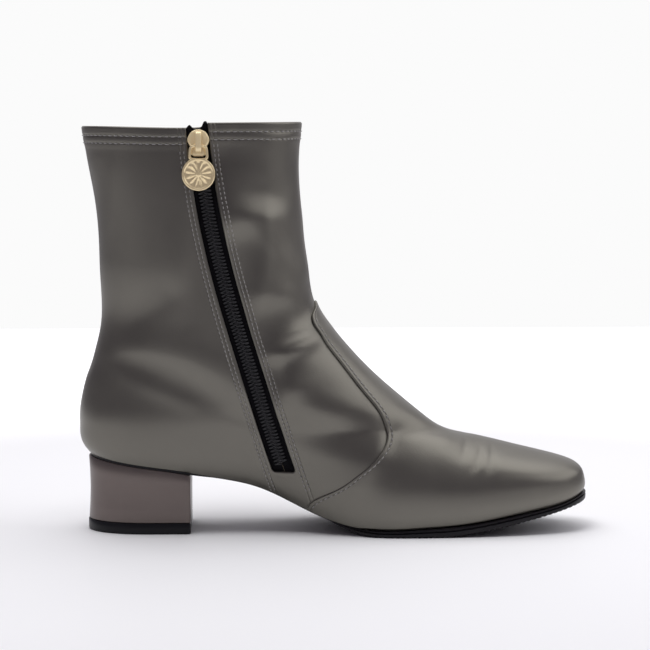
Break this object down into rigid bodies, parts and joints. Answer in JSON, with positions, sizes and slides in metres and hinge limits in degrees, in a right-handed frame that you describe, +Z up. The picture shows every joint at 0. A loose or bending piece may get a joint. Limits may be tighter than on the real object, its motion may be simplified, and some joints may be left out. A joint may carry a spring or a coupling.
{
  "type": "ankle boot",
  "caption": "Left ankle boot of stretch leather with a block heel, a lapped vamp and a side zip with a swinging pull tab.",
  "frame": {"origin": "on the floor under the middle of the boot's length and width", "axes": "+X towards the toe, +Y towards the outer side of the foot, +Z up"},
  "size_m": [0.261, 0.0828, 0.2081],
  "materials": {
    "leather": "smooth pewter grey stretch leather with a soft metallic sheen",
    "heel_cover": "satin metallic covered heel",
    "rubber": "matt black rubber",
    "insole_cloth": "plain sock lining over board",
    "zip_tape": "black woven tape and nylon coil",
    "gold": "polished pale gold plating"
  },
  "bodies": {
    "boot": {"upper": "leather", "vamp": "leather", "outsole": "rubber", "insole": "insole_cloth", "heel_block": "heel_cover", "top_lift": "rubber", "zip_tape_front": "zip_tape", "zip_tape_back": "zip_tape", "zip_chain": "zip_tape", "zip_slider": "gold"},
    "pull": {"zip_pull": "gold"}
  },
  "joints": [
    {"name": "pull_swing", "type": "hinge", "parent": "boot", "child": "pull", "pos_m": [-0.06816, -0.03521, 0.197], "axis": [-1, -0.0065, 0], "range_deg": [0, 140]}
  ]
}
